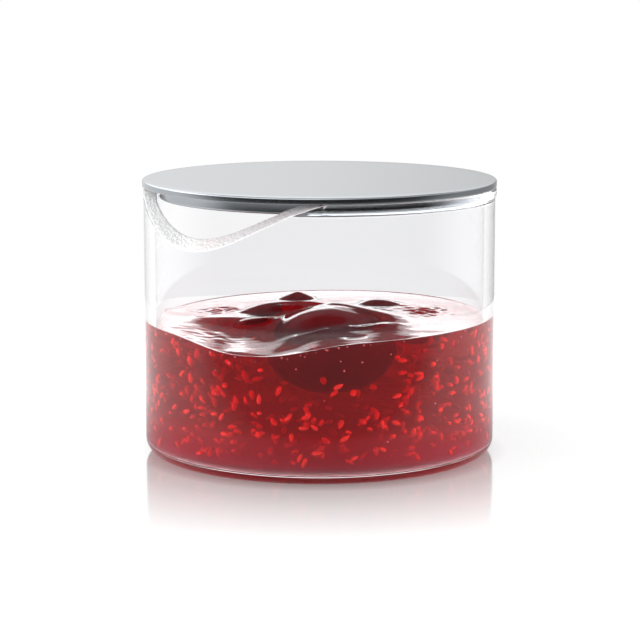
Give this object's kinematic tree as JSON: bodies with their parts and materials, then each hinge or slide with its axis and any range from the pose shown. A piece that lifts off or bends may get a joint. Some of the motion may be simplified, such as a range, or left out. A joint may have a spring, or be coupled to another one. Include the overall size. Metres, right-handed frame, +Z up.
{
  "type": "jam pot",
  "caption": "Round clear glass jam pot with a ground spoon notch in its rim, a flat sheet-steel lid that lifts off, and a fill of berry jam.",
  "frame": {"origin": "middle of the pot's base, on the table", "axes": "+Z up along the pot's axis; the spoon notch faces -Y; +X to the right of somebody who faces the notch"},
  "size_m": [0.1, 0.1, 0.0778],
  "materials": {
    "glass": "clear, fire-polished, with a finely ground notch",
    "lid_steel": "fine satin brushing",
    "jam": "wet, glossy and clouded",
    "berry": "wet fruit"
  },
  "bodies": {
    "pot": {"glass_pot": "glass", "jam_gel": "jam", "large_berry": "berry", "left_berry": "berry", "rear_berry": "berry", "right_berry": "berry"},
    "lid": {"lid_cap": "lid_steel", "lid_pan": "lid_steel"}
  },
  "joints": [
    {"name": "lid_lift", "type": "slide", "parent": "pot", "child": "lid", "axis": [0, 0, 1], "range_m": [0, 0.08]}
  ]
}
